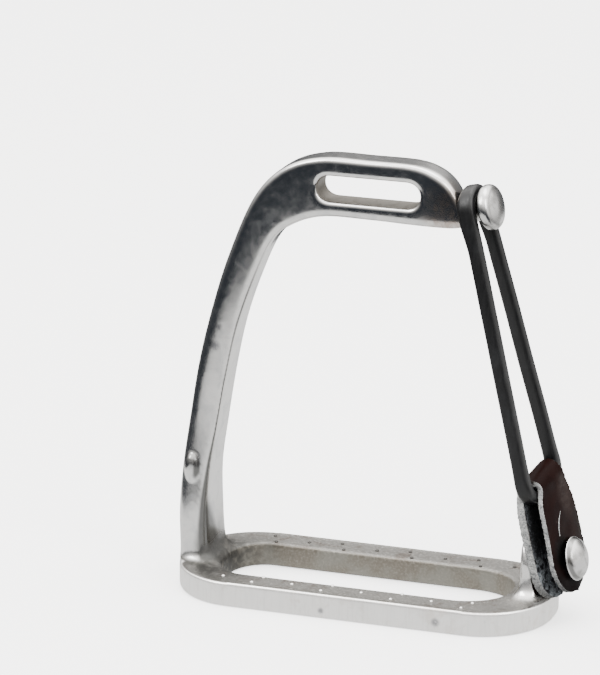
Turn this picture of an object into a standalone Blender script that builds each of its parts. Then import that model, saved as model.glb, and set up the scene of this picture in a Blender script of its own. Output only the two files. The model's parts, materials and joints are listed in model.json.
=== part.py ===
"""Quick-release safety stirrup iron, standing on its tread.

A one-piece cast frame is open on its outer side. A rubber ring closes that side: its top loop sits on the
neck of a round-headed knob at the end of the arch, and its lower bend lies in the fold of a leather tab,
which is buttoned on a domed stud in a short lug at the outer end of the tread.

X runs along the tread, towards the open side. Y runs from the front to the back. Z is up.
The origin is the bottom centre of the whole object's bounding box.
"""
import math

import bmesh
import bpy
from mathutils import Matrix, Vector

MM = 0.001

# Tread: an oval ring with a long hole, measured from its own centre.
TREAD_LENGTH = 138.0 * MM
TREAD_WIDTH = 55.0 * MM
TREAD_HEIGHT = 9.2 * MM
TREAD_CORNER = 25.5 * MM
TREAD_EDGE = 0.8 * MM
HOLE_HALF_LENGTH = 53.4 * MM
HOLE_HALF_WIDTH = 16.2 * MM
HOLE_LEG_END = (12.0 * MM, 14.0 * MM)
HOLE_LUG_END = (18.0 * MM, 15.0 * MM)

# Leg and arch: cross-sections from the foot to the open end, in millimetres.
# Each has its outer point (x, z), its inner point (x, z), its depth in Y, and the radii of its outer and
# inner edges.
ARCH_DEPTH = 11.4
FRAME_STATIONS = (
    ((-68.4, 3.0), (-54.0, 3.0), 27.0, 7.5, 4.0),
    ((-68.6, 9.2), (-54.6, 9.2), 26.0, 7.0, 4.0),
    ((-68.7, 13.0), (-56.9, 13.0), 22.6, 6.0, 3.6),
    ((-68.8, 28.0), (-57.4, 28.0), 21.5, 5.5, 4.0),
    ((-67.6, 44.0), (-56.7, 43.0), 18.0, 4.4, 3.6),
    ((-65.4, 61.0), (-54.0, 59.0), 13.4, 3.6, 1.6),
    ((-62.2, 81.0), (-50.4, 78.5), 11.8, 3.4, 1.2),
    ((-57.4, 100.5), (-46.2, 97.0), 11.6, 3.4, 1.2),
    ((-50.6, 121.5), (-40.0, 114.9), ARCH_DEPTH, 3.0, 1.4),
    ((-40.6, 143.8), (-33.3, 129.2), ARCH_DEPTH, 2.4, 1.8),
    ((-29.5, 155.4), (-25.6, 135.6), ARCH_DEPTH, 1.8, 2.4),
    ((-16.0, 160.3), (-14.5, 139.2), ARCH_DEPTH, 1.6, 3.0),
    ((2.0, 160.6), (2.0, 139.4), ARCH_DEPTH, 1.6, 3.0),
    ((18.0, 160.4), (18.0, 139.0), ARCH_DEPTH, 1.6, 3.0),
    ((26.2, 158.2), (26.2, 138.9), ARCH_DEPTH, 1.8, 3.0),
    ((31.3, 154.4), (32.4, 139.1), 11.0, 2.2, 2.8),
    ((34.4, 149.4), (36.9, 139.9), 9.8, 2.4, 2.4),
)
STEPS_BETWEEN_STATIONS = 4

# Slot for the stirrup leather, through the arch from front to back.
SLOT_CENTRE_X = 1.8 * MM
SLOT_CENTRE_Z = 149.9 * MM
SLOT_LENGTH = 37.0 * MM
SLOT_HEIGHT = 10.4 * MM
SLOT_RIM = 1.1 * MM
SLOT_OVERRUN = 2.0 * MM

# Oval boss low on the front and the back of the leg.
BOSS_CENTRE = (-63.0 * MM, 8.5 * MM, 43.5 * MM)
BOSS_RADII = (2.5 * MM, 1.5 * MM, 4.6 * MM)

# Lug on the tread's open end: height, inner x, outer x, depth and edge radius, in millimetres.
LUG_STATIONS = (
    (3.0, 55.0, 67.0, 27.0, 4.0),
    (9.2, 55.8, 66.3, 26.0, 4.0),
    (12.0, 57.9, 65.2, 21.0, 2.4),
    (16.5, 58.5, 64.1, 18.4, 1.7),
    (22.0, 58.6, 62.8, 17.6, 1.5),
    (26.5, 58.5, 61.7, 14.8, 1.4),
    (29.3, 58.6, 61.1, 10.0, 1.1),
    (30.6, 59.0, 60.7, 4.8, 0.7),
)
LUG_STEPS = 2

# Closure frame: its x runs out along the stud, its y to the back and its z up along the ring.
CLOSURE_X = 70.2 * MM
CLOSURE_Z = 21.8 * MM
CLOSURE_LEAN = math.radians(14.0)
CLOSURE_YAW = math.radians(6.0)

# Knob at the open end of the arch.
KNOB_HEIGHT = 127.8 * MM
KNOB_SHANK_RADIUS = 3.0 * MM
KNOB_SHANK_END = -13.0 * MM
KNOB_NECK_RADIUS = 4.2 * MM
KNOB_NECK_START = -2.9 * MM
KNOB_HEAD_RADIUS = 7.9 * MM
KNOB_HEAD_START = 3.5 * MM
KNOB_HEAD_END = 8.7 * MM
KNOB_UNDER_EDGE = 2.0 * MM
KNOB_END_EDGE = 2.8 * MM
KNOB_CROWN = 0.3 * MM
KNOB_TIP_RADIUS = 0.5 * MM

# Domed stud that the leather tab is buttoned on.
STUD_SHANK_RADIUS = 2.1 * MM
STUD_SHANK_END = -10.0 * MM
STUD_POST_RADIUS = 2.6 * MM
STUD_POST_START = -6.2 * MM
STUD_HEAD_RADIUS = 7.8 * MM
STUD_HEAD_START = 6.1 * MM
STUD_RIM = 0.8 * MM
STUD_RIM_BEVEL = 0.3 * MM
STUD_DOME_HEIGHT = 3.2 * MM
STUD_TIP_RADIUS = 0.3 * MM

# Rubber ring.
RING_THICKNESS = 4.3 * MM
RING_WIDTH = 5.1 * MM
RING_EDGE = 1.4 * MM
RING_BEND_HEIGHT = 25.5 * MM
RING_BEND_RADIUS = 7.0 * MM
RING_BEND_HALF_SPAN = 13.2 * MM

# Leather tab: one strap folded in two.
TAB_WIDTH = 29.9 * MM
TAB_THICKNESS = 2.5 * MM
TAB_SPREAD = 4.05 * MM
TAB_FOLD_HEIGHT = 28.0 * MM
TAB_FOLD_HALF_WIDTH = 8.4 * MM
TAB_WAIST_START = 2.0 * MM
TAB_WAIST_LENGTH = 22.0 * MM
TAB_END = -11.2 * MM
TAB_HOLE_RADIUS = 3.0 * MM

# Gap between neighbouring pieces, and how far a bore's cutter runs out of the metal.
CLEARANCE = 0.3 * MM
BORE_OVERRUN = 4.0 * MM

BUTTON_TIP = STUD_HEAD_START + STUD_RIM + STUD_DOME_HEIGHT


def closure_matrix():
    """Place of the closure frame, measured from the tread's centre."""
    lean = Matrix.Rotation(-CLOSURE_LEAN, 4, "Y")
    yaw = Matrix.Rotation(-CLOSURE_YAW, 4, "Z")
    return Matrix.Translation((CLOSURE_X, 0.0, CLOSURE_Z)) @ lean @ yaw


def dome_reach():
    """Largest x of the stud's dome, measured from the tread's centre."""
    axis = closure_matrix().to_3x3().col[0]
    cap_radius = (STUD_HEAD_RADIUS ** 2 + STUD_DOME_HEIGHT ** 2) / (2 * STUD_DOME_HEIGHT)
    cap_centre = BUTTON_TIP - cap_radius
    return CLOSURE_X + cap_centre * axis.x + cap_radius


def clear_scene():
    for item in list(bpy.data.objects):
        bpy.data.objects.remove(item, do_unlink=True)


def make_material(name, colour, metallic, roughness):
    material = bpy.data.materials.new(name)
    material.use_nodes = True
    shader = material.node_tree.nodes["Principled BSDF"]
    shader.inputs["Base Color"].default_value = (*colour, 1.0)
    shader.inputs["Metallic"].default_value = metallic
    shader.inputs["Roughness"].default_value = roughness
    return material


def loft(rings, closed_loop=False):
    """Mesh data for a skin over matching rings of points, capped at its ends or closed on itself."""
    bm = bmesh.new()
    loops = [[bm.verts.new(point) for point in ring] for ring in rings]
    pairs = list(zip(loops, loops[1:]))
    if closed_loop:
        pairs.append((loops[-1], loops[0]))
    for lower, upper in pairs:
        for index in range(len(lower)):
            following = (index + 1) % len(lower)
            bm.faces.new((lower[index], lower[following], upper[following], upper[index]))
    if not closed_loop:
        bm.faces.new(loops[0])
        bm.faces.new(loops[-1])
    bmesh.ops.recalc_face_normals(bm, faces=bm.faces)
    return bm


def add_object(name, bm, material=None, parent=None, location=(0.0, 0.0, 0.0), sharp_degrees=35.0):
    mesh = bpy.data.meshes.new(name)
    bm.to_mesh(mesh)
    bm.free()
    mesh.shade_smooth()
    mesh.set_sharp_from_angle(angle=math.radians(sharp_degrees))
    item = bpy.data.objects.new(name, mesh)
    bpy.context.scene.collection.objects.link(item)
    item.location = location
    item.parent = parent
    if material:
        mesh.materials.append(material)
    return item


def add_empty(name, matrix, parent=None):
    item = bpy.data.objects.new(name, None)
    bpy.context.scene.collection.objects.link(item)
    item.parent = parent
    item.matrix_local = matrix
    return item


def add_tool(name, bm, target, operation):
    """Join a hidden helper solid to the target, or cut it from it."""
    tool = add_object(name, bm, parent=target)
    tool.hide_render = True
    tool.display_type = "WIRE"
    step = target.modifiers.new(name, "BOOLEAN")
    step.operation = operation
    step.solver = "EXACT"
    step.object = tool
    return tool


def rounded_rectangle(low, high, half_depth, low_radius, high_radius, steps=5):
    """Points (across, y) of a section from low to high, with one edge radius at each of its two sides."""
    corners = (
        (high - high_radius, half_depth - high_radius, high_radius, 0.0),
        (low + low_radius, half_depth - low_radius, low_radius, 90.0),
        (low + low_radius, -half_depth + low_radius, low_radius, 180.0),
        (high - high_radius, -half_depth + high_radius, high_radius, 270.0),
    )
    points = []
    for centre_across, centre_y, radius, start in corners:
        for step in range(steps + 1):
            angle = math.radians(start + 90.0 * step / steps)
            points.append((centre_across + radius * math.cos(angle), centre_y + radius * math.sin(angle)))
    return points


def flatten_station(station):
    values = []
    for item in station:
        values.extend(item if isinstance(item, tuple) else (item,))
    return values


def smooth_stations(stations, steps):
    """Catmull-Rom interpolation of every value of the stations."""
    rows = [flatten_station(station) for station in stations]
    smooth = []
    for index in range(len(rows) - 1):
        before = rows[max(index - 1, 0)]
        start = rows[index]
        end = rows[index + 1]
        after = rows[min(index + 2, len(rows) - 1)]
        for step in range(steps):
            t = step / steps
            smooth.append([
                0.5 * (2 * b + (c - a) * t + (2 * a - 5 * b + 4 * c - d) * t ** 2
                       + (3 * b - a - 3 * c + d) * t ** 3)
                for a, b, c, d in zip(before, start, end, after)
            ])
    smooth.append(rows[-1])
    return smooth


def arch_and_leg():
    rings = []
    for row in smooth_stations(FRAME_STATIONS, STEPS_BETWEEN_STATIONS):
        outer_x, outer_z, inner_x, inner_z, depth, outer_edge, inner_edge = [value * MM for value in row]
        outer = Vector((outer_x, 0.0, outer_z))
        inner = Vector((inner_x, 0.0, inner_z))
        width = (outer - inner).length
        across = (outer - inner) / width
        section = rounded_rectangle(0.0, width, depth / 2, inner_edge, outer_edge)
        rings.append([inner + across * p + Vector((0.0, y, 0.0)) for p, y in section])
    return loft(rings)


def oval_outline(x_min, x_max, half_width, low_end, high_end, arc_steps=11, rail_steps=6):
    """Closed outline with straight rails and quarter-ellipse corners (rx, ry) at each end."""
    corners = (
        (x_max - high_end[0], half_width - high_end[1], high_end, 0.0),
        (x_min + low_end[0], half_width - low_end[1], low_end, 90.0),
        (x_min + low_end[0], -half_width + low_end[1], low_end, 180.0),
        (x_max - high_end[0], -half_width + high_end[1], high_end, 270.0),
    )
    points = []
    for index, (centre_x, centre_y, radii, start) in enumerate(corners):
        for step in range(arc_steps + 1):
            angle = math.radians(start + 90.0 * step / arc_steps)
            points.append((centre_x + radii[0] * math.cos(angle), centre_y + radii[1] * math.sin(angle)))
        if index in (0, 2):
            next_centre = corners[index + 1][0]
            side = 1.0 if index == 0 else -1.0
            for step in range(1, rail_steps):
                x = centre_x + (next_centre - centre_x) * step / rail_steps
                points.append((x, side * half_width))
    return points


def tread():
    """Oval ring: the section runs up the outer wall, over the top, down the hole and back below."""
    steps = 3
    half_length = TREAD_LENGTH / 2
    half_width = TREAD_WIDTH / 2

    def outer(inset, z):
        corner = TREAD_CORNER - inset
        outline = oval_outline(-half_length + inset, half_length - inset, half_width - inset,
                               (corner, corner), (corner, corner))
        return [Vector((x, y, z)) for x, y in outline]

    def hole(inset, z):
        leg_end = [radius + inset for radius in HOLE_LEG_END]
        lug_end = [radius + inset for radius in HOLE_LUG_END]
        outline = oval_outline(-HOLE_HALF_LENGTH - inset, HOLE_HALF_LENGTH + inset, HOLE_HALF_WIDTH + inset,
                               leg_end, lug_end)
        return [Vector((x, y, z)) for x, y in outline]

    turns = [math.radians(90.0 * step / steps) for step in range(steps + 1)]
    rings = []
    for turn in turns:
        rings.append(outer(TREAD_EDGE * (1 - math.sin(turn)), TREAD_EDGE * (1 - math.cos(turn))))
    for turn in turns:
        inset = TREAD_EDGE * (1 - math.cos(turn))
        rings.append(outer(inset, TREAD_HEIGHT - TREAD_EDGE * (1 - math.sin(turn))))
    for turn in turns:
        inset = TREAD_EDGE * (1 - math.sin(turn))
        rings.append(hole(inset, TREAD_HEIGHT - TREAD_EDGE * (1 - math.cos(turn))))
    for turn in turns:
        rings.append(hole(TREAD_EDGE * (1 - math.cos(turn)), TREAD_EDGE * (1 - math.sin(turn))))
    return loft(rings, closed_loop=True)


def lug():
    rings = []
    for row in smooth_stations(LUG_STATIONS, LUG_STEPS):
        z, inner_x, outer_x, depth, edge = [value * MM for value in row]
        section = rounded_rectangle(inner_x, outer_x, depth / 2, edge, edge, steps=4)
        rings.append([Vector((x, y, z)) for x, y in section])
    return loft(rings)


def slot_cutter():
    """Rounded slot that widens as a quarter round at both faces of the arch."""
    face = ARCH_DEPTH * MM / 2
    steps = 3
    depths = [(-face - SLOT_OVERRUN, SLOT_RIM)]
    for step in range(steps + 1):
        turn = math.radians(90.0 * step / steps)
        depths.append((-face + SLOT_RIM * math.sin(turn), SLOT_RIM * (1 - math.cos(math.pi / 2 - turn))))
    depths.extend([(-depth, grow) for depth, grow in reversed(depths)])
    rings = []
    for y, grow in depths:
        half_length = SLOT_LENGTH / 2 + grow
        half_height = SLOT_HEIGHT / 2 + grow
        section = rounded_rectangle(-half_length, half_length, half_height, half_height * 0.999,
                                    half_height * 0.999, steps=8)
        rings.append([Vector((SLOT_CENTRE_X + x, y, SLOT_CENTRE_Z + z)) for x, z in section])
    return loft(rings)


def boss(side):
    bm = bmesh.new()
    centre = Vector((BOSS_CENTRE[0], side * BOSS_CENTRE[1], BOSS_CENTRE[2]))
    place = Matrix.Translation(centre) @ Matrix.Diagonal((*BOSS_RADII, 1.0))
    bmesh.ops.create_uvsphere(bm, u_segments=16, v_segments=10, radius=1.0, matrix=place)
    return bm


def turned(profile, segments=32, place=None):
    """Solid of revolution about the closure frame's x axis, from points (x, radius)."""
    rings = []
    for x, radius in profile:
        ring = []
        for index in range(segments):
            angle = 2 * math.pi * index / segments
            ring.append(Vector((x, radius * math.cos(angle), radius * math.sin(angle))))
        rings.append(ring)
    bm = loft(rings)
    if place:
        bmesh.ops.transform(bm, matrix=place, verts=bm.verts)
    return bm


def quarter_round(centre_x, centre_radius, radius, start, end, steps=5):
    points = []
    for step in range(steps + 1):
        angle = math.radians(start + (end - start) * step / steps)
        points.append((centre_x + radius * math.cos(angle), centre_radius + radius * math.sin(angle)))
    return points


def knob_profile():
    under = KNOB_UNDER_EDGE
    end = KNOB_END_EDGE
    profile = [
        (KNOB_SHANK_END, KNOB_SHANK_RADIUS),
        (KNOB_NECK_START, KNOB_SHANK_RADIUS),
        (KNOB_NECK_START, KNOB_NECK_RADIUS),
        (KNOB_HEAD_START, KNOB_NECK_RADIUS),
    ]
    profile += quarter_round(KNOB_HEAD_START + under, KNOB_HEAD_RADIUS - under, under, 180, 90)
    profile += quarter_round(KNOB_HEAD_END - end, KNOB_HEAD_RADIUS - end, end, 90, 0)
    profile.append((KNOB_HEAD_END + KNOB_CROWN, KNOB_TIP_RADIUS))
    return profile


def stud_profile(steps=9):
    profile = [
        (STUD_SHANK_END, STUD_SHANK_RADIUS),
        (STUD_POST_START, STUD_SHANK_RADIUS),
        (STUD_POST_START, STUD_POST_RADIUS),
        (STUD_HEAD_START, STUD_POST_RADIUS),
        (STUD_HEAD_START, STUD_HEAD_RADIUS - STUD_RIM_BEVEL),
        (STUD_HEAD_START + STUD_RIM_BEVEL, STUD_HEAD_RADIUS),
    ]
    cap_radius = (STUD_HEAD_RADIUS ** 2 + STUD_DOME_HEIGHT ** 2) / (2 * STUD_DOME_HEIGHT)
    opening = math.asin(STUD_HEAD_RADIUS / cap_radius)
    for step in range(steps):
        angle = opening * (1 - step / steps)
        profile.append((BUTTON_TIP - cap_radius * (1 - math.cos(angle)), cap_radius * math.sin(angle)))
    profile.append((BUTTON_TIP, STUD_TIP_RADIUS))
    return profile


def ring_path(arc_steps=14, bend_steps=6, strand_steps=3):
    """Centre line (y, z, outward normal) of the ring: loop on the neck, two strands and the lower bend."""
    loop_radius = KNOB_NECK_RADIUS + CLEARANCE + RING_THICKNESS / 2
    bend_centre = Vector((RING_BEND_HALF_SPAN - RING_BEND_RADIUS, RING_BEND_HEIGHT + RING_BEND_RADIUS))
    loop_centre = Vector((0.0, KNOB_HEIGHT))
    span = bend_centre - loop_centre
    slope = math.atan2(-span.y, span.x)
    tangent = math.acos((loop_radius - RING_BEND_RADIUS) / span.length) - slope
    path = []
    for step in range(arc_steps + 1):
        angle = tangent + (math.pi - 2 * tangent) * step / arc_steps
        path.append((loop_centre, loop_radius, angle))
    for step in range(bend_steps + 1):
        angle = math.pi - tangent + (math.pi / 2 + tangent) * step / bend_steps
        path.append((Vector((-bend_centre.x, bend_centre.y)), RING_BEND_RADIUS, angle))
    for step in range(bend_steps + 1):
        angle = 1.5 * math.pi + (math.pi / 2 + tangent) * step / bend_steps
        path.append((bend_centre, RING_BEND_RADIUS, angle))
    points = []
    for centre, radius, angle in path:
        normal = Vector((math.cos(angle), math.sin(angle)))
        points.append((centre + normal * radius, normal))
    filled = []
    for index, (point, normal) in enumerate(points):
        following, following_normal = points[(index + 1) % len(points)]
        gap = following - point
        count = strand_steps if gap.length > 2 * RING_BEND_RADIUS else 1
        for step in range(count):
            t = step / count
            filled.append((point + gap * t, normal.lerp(following_normal, t).normalized()))
    return filled


def rubber_ring():
    section = rounded_rectangle(-RING_THICKNESS / 2, RING_THICKNESS / 2, RING_WIDTH / 2, RING_EDGE, RING_EDGE,
                                steps=3)
    rings = []
    for point, normal in ring_path():
        ring = []
        for across, x in section:
            y = point.x + normal.x * across
            z = point.y + normal.y * across - RING_BEND_HEIGHT
            ring.append(Vector((x, y, z)))
        rings.append(ring)
    return loft(rings, closed_loop=True)


def tab_half_width(distance, z):
    """Half width of the strap at a distance along it from the top of the fold."""
    t = min(max((distance - TAB_WAIST_START) / TAB_WAIST_LENGTH, 0.0), 1.0)
    blend = t * t * (3 - 2 * t)
    half_width = TAB_FOLD_HALF_WIDTH + (TAB_WIDTH / 2 - TAB_FOLD_HALF_WIDTH) * blend
    end_centre = TAB_END + TAB_WIDTH / 2
    if z < end_centre:
        reach = max((TAB_WIDTH / 2) ** 2 - (end_centre - z) ** 2, 0.0)
        half_width = min(half_width, math.sqrt(reach))
    return half_width


def tab_centre_line():
    """Stations (x, z, normal x, normal z, distance from the fold's top) down the outer layer."""
    line = []
    fold_steps = 7
    for step in range(fold_steps):
        angle = math.pi / 2 * step / fold_steps
        x = TAB_SPREAD * math.sin(angle)
        z = TAB_FOLD_HEIGHT + TAB_SPREAD * math.cos(angle)
        line.append((x, z, math.sin(angle), math.cos(angle), TAB_SPREAD * angle))
    fold_length = TAB_SPREAD * math.pi / 2
    end_centre = TAB_END + TAB_WIDTH / 2
    straight_steps = 8
    for step in range(straight_steps):
        z = TAB_FOLD_HEIGHT + (end_centre - TAB_FOLD_HEIGHT) * step / straight_steps
        line.append((TAB_SPREAD, z, 1.0, 0.0, fold_length + TAB_FOLD_HEIGHT - z))
    end_steps = 10
    for step in range(end_steps):
        angle = math.pi / 2 * step / (end_steps - 0.5)
        z = end_centre - TAB_WIDTH / 2 * math.sin(angle)
        line.append((TAB_SPREAD, z, 1.0, 0.0, fold_length + TAB_FOLD_HEIGHT - z))
    return line


def leather_tab():
    outer = tab_centre_line()
    inner = [(-x, z, -normal_x, normal_z, distance) for x, z, normal_x, normal_z, distance in outer[1:]]
    rings = []
    for x, z, normal_x, normal_z, distance in list(reversed(inner)) + outer:
        half_width = tab_half_width(distance, z)
        ring = []
        for side, skin in ((-1, -1), (1, -1), (1, 1), (-1, 1)):
            shift = skin * TAB_THICKNESS / 2
            ring.append(Vector((x + normal_x * shift, side * half_width, z + normal_z * shift)))
        rings.append(ring)
    return loft(rings)


def build_frame(parent, steel):
    frame = add_object("iron_frame", arch_and_leg(), steel, parent)
    add_tool("tread_solid", tread(), frame, "UNION")
    add_tool("lug_solid", lug(), frame, "UNION")
    add_tool("boss_front", boss(-1), frame, "UNION")
    add_tool("boss_back", boss(1), frame, "UNION")
    add_tool("slot_cutter", slot_cutter(), frame, "DIFFERENCE")
    place = closure_matrix()
    at_knob = place @ Matrix.Translation((0.0, 0.0, KNOB_HEIGHT))
    knob_bore = ((KNOB_SHANK_END - CLEARANCE, KNOB_SHANK_RADIUS + CLEARANCE),
                 (KNOB_NECK_START + BORE_OVERRUN, KNOB_SHANK_RADIUS + CLEARANCE))
    stud_bore = ((STUD_SHANK_END - CLEARANCE, STUD_SHANK_RADIUS + CLEARANCE),
                 (STUD_POST_START + BORE_OVERRUN, STUD_SHANK_RADIUS + CLEARANCE))
    add_tool("knob_bore", turned(knob_bore, 24, at_knob), frame, "DIFFERENCE")
    add_tool("stud_bore", turned(stud_bore, 24, place), frame, "DIFFERENCE")
    return frame


def build_closure(parent, steel, rubber, leather):
    closure = add_empty("closure", closure_matrix(), parent)
    add_object("top_knob", turned(knob_profile()), steel, closure, (0.0, 0.0, KNOB_HEIGHT))
    add_object("tab_stud", turned(stud_profile()), steel, closure)
    add_object("rubber_ring", rubber_ring(), rubber, closure, (0.0, 0.0, RING_BEND_HEIGHT))
    tab = add_object("leather_tab", leather_tab(), leather, closure)
    reach = 2 * (TAB_SPREAD + TAB_THICKNESS)
    hole = turned(((-reach, TAB_HOLE_RADIUS), (reach, TAB_HOLE_RADIUS)), 24)
    add_tool("tab_hole", hole, tab, "DIFFERENCE")


def main():
    clear_scene()
    steel = make_material("stainless_steel", (0.62, 0.61, 0.59), 1.0, 0.28)
    stud_steel = make_material("turned_steel", (0.60, 0.60, 0.59), 1.0, 0.24)
    rubber = make_material("black_rubber", (0.018, 0.019, 0.021), 0.0, 0.48)
    leather = make_material("brown_leather", (0.055, 0.020, 0.016), 0.0, 0.50)
    centre_x = (dome_reach() - TREAD_LENGTH / 2) / 2
    stirrup = add_empty("stirrup", Matrix.Translation((-centre_x, 0.0, 0.0)))
    build_frame(stirrup, steel)
    build_closure(stirrup, stud_steel, rubber, leather)


main()
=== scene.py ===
"""Looks of a quick-release safety stirrup iron: ground and polished steel, rubber ring and leather tab.

Sizes are in millimetres from the tread's centre, or in the closure frame of the stud and the ring.
"""
import json
import math

import bmesh
import bpy
import numpy as np
from mathutils import Matrix, Vector, noise


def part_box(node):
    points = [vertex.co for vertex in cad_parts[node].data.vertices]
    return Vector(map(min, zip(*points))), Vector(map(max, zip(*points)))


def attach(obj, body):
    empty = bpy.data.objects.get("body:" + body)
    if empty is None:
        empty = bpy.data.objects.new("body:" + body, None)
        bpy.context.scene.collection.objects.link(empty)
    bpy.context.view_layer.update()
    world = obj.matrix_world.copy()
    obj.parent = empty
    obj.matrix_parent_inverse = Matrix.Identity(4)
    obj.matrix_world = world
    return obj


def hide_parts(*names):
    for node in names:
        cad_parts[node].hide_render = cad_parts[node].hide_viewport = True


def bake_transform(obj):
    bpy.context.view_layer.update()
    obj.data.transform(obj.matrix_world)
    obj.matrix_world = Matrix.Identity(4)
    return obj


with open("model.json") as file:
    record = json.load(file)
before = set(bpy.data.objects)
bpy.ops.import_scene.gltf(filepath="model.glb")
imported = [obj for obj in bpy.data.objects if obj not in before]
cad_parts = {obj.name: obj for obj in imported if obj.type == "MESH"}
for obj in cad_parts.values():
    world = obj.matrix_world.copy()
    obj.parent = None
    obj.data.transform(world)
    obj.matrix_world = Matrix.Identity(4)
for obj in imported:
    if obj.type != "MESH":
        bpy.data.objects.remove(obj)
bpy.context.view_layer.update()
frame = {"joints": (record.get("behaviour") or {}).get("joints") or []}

MM = 0.001
MARGIN = 0.3  # between parts that fit into or round each other

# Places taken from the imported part.
frame_low, frame_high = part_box("iron_frame")
TREAD_X = (frame_low[0] + frame_high[0]) / 2 / MM
TREAD_HALF_LENGTH = (frame_high[0] - frame_low[0]) / 2 / MM
TREAD_HALF_WIDTH = (frame_high[1] - frame_low[1]) / 2 / MM
JOINTS = {joint["name"]: joint for joint in frame["joints"]}

# Tread.
TREAD_HEIGHT = 9.2
TREAD_CORNER = 25.5
TREAD_EDGE = 0.7
TREAD_LIP_WIDTH = 1.5
TREAD_LIP_HEIGHT = 0.3
HOLE_HALF_LENGTH = 53.4
HOLE_HALF_WIDTH = 16.2
HOLE_LEG_END = (12.0, 14.0)
HOLE_LUG_END = (18.0, 15.0)

# Sections of the leg and the arch: outer (x, z), inner (x, z), depth, outer and inner edge radius.
ARCH_DEPTH = 11.4
FRAME_STATIONS = (
    (-68.4, 3.0, -54.0, 3.0, 27.0, 7.5, 4.0),
    (-68.6, 9.2, -54.6, 9.2, 26.0, 7.0, 4.0),
    (-68.7, 13.0, -56.9, 13.0, 22.6, 6.0, 3.6),
    (-68.8, 28.0, -57.4, 28.0, 21.5, 5.5, 4.0),
    (-67.6, 44.0, -56.7, 43.0, 17.2, 4.2, 3.0),
    (-65.2, 61.0, -54.2, 59.0, 14.0, 3.5, 1.2),
    (-61.9, 81.0, -50.7, 78.5, 12.7, 3.3, 0.8),
    (-57.2, 100.5, -46.4, 97.0, 12.1, 3.2, 0.8),
    (-50.5, 121.5, -40.1, 114.9, 11.6, 2.8, 0.9),
    (-40.6, 143.8, -33.3, 129.2, ARCH_DEPTH, 2.2, 1.3),
    (-29.5, 155.4, -25.6, 135.6, ARCH_DEPTH, 1.4, 1.7),
    (-16.0, 160.3, -14.5, 139.2, ARCH_DEPTH, 1.1, 1.9),
    (2.0, 160.6, 2.0, 139.4, ARCH_DEPTH, 1.1, 1.9),
    (18.0, 160.4, 18.0, 139.0, ARCH_DEPTH, 1.1, 1.9),
    (26.2, 158.2, 26.2, 138.9, ARCH_DEPTH, 1.8, 2.0),
    (31.3, 154.4, 32.4, 139.1, 11.0, 2.2, 1.9),
    (34.4, 149.4, 36.9, 139.9, 9.8, 2.4, 1.9),
)

# Lug: height, inner x, outer x, depth, edge radius.
LUG_STATIONS = (
    (3.0, 55.0, 67.0, 27.0, 4.0),
    (9.2, 55.8, 66.3, 26.0, 4.0),
    (12.0, 57.9, 65.2, 21.0, 2.4),
    (16.5, 58.5, 64.1, 18.4, 1.7),
    (22.0, 58.6, 62.8, 17.6, 1.5),
    (26.5, 58.5, 61.7, 14.8, 1.4),
    (29.3, 58.6, 61.1, 10.0, 1.1),
    (30.6, 59.0, 60.7, 4.8, 0.7),
)

SLOT_CENTRE = (1.8, 149.6)
SLOT_HALF_LENGTH = 18.8
SLOT_HALF_HEIGHT = 4.5
SLOT_RIM = 0.65
FACE_CROWN = 0.10
FACE_STEPS = 8
BOSS_CENTRE = (-63.2, 8.4, 43.5)
BOSS_RADII = (2.7, 1.9, 5.2)

# Pips: pitch of the groups, first group of each rail, and (x, y) within a group.
PIP_PITCH = 25.8
PIP_ROWS = ((-1, -34.0), (1, -16.5))
PIP_GROUP = ((-1.2, 23.4), (1.2, 17.8), (PIP_PITCH / 2, 20.8))
PIP_LIMIT = 50.0
PIP_RADII = (0.7, 0.7, 0.5)

# Skin of the casting: voxels, rounds of smoothing before and after filling corners, extra for the arch.
VOXEL = 0.40
SKIN_ROUNDS = 8
FINISH_ROUNDS = 6
ARCH_ROUNDS = 12
ARCH_ZONE = (85.0, 105.0)
FILLET_ROUNDS = 150
FILLET_TOP = (20.0, 26.0)
FILLET_ENDS = (48.0, 52.0)

KNOB_HEIGHT = 127.8
KNOB_SHANK_RADIUS = 3.0
KNOB_SHANK_END = -13.0
KNOB_NECK_RADIUS = 4.2
KNOB_NECK_START = -2.9
KNOB_BORE_END = 1.0

STUD_SHANK_RADIUS = 2.1
STUD_SHANK_END = -10.0
STUD_POST_RADIUS = 2.6
STUD_POST_START = -6.2
STUD_BORE_END = -2.0
BORE_SEGMENTS = 48
AXIS_RADIUS = 0.1
DOME_STEPS = 24

RING_THICKNESS = 4.3
RING_WIDTH = 5.1
RING_EDGE = 1.5
RING_BEND_HEIGHT = 25.5
RING_BEND_RADIUS = 7.0
RING_BEND_HALF_SPAN = 13.2
RING_STEP = 1.2

TAB_THICKNESS = 2.4
TAB_SPREAD = 4.0
TAB_FOLD_HEIGHT = 28.4
TAB_HALF_WIDTH = 13.4
TAB_FOLD_HALF_WIDTH = 9.0
TAB_END_CENTRE = 2.0
TAB_HOLE_RADIUS = 3.2
TAB_HOLE_REACH = 12.0
TAB_SWELL = 0.9
INNER_LAYER_EXTRA = 0.9
OUTER_LAYER_EXTRA = -0.5
INNER_LAYER_DROP = 1.4
OUTER_LAYER_BULGE = 0.35
LAYER_STEPS = 80
FOLD_STEPS = 30
SLIT = ((-1.2, 18.0), (-3.0, 16.4), (-4.4, 14.6), (-5.4, 12.6), (-5.9, 10.4))
SLIT_WIDTH = 0.4
SKIN_SLOTS = {"grain": 0, "flesh": 1, "edge": 2}

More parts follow.
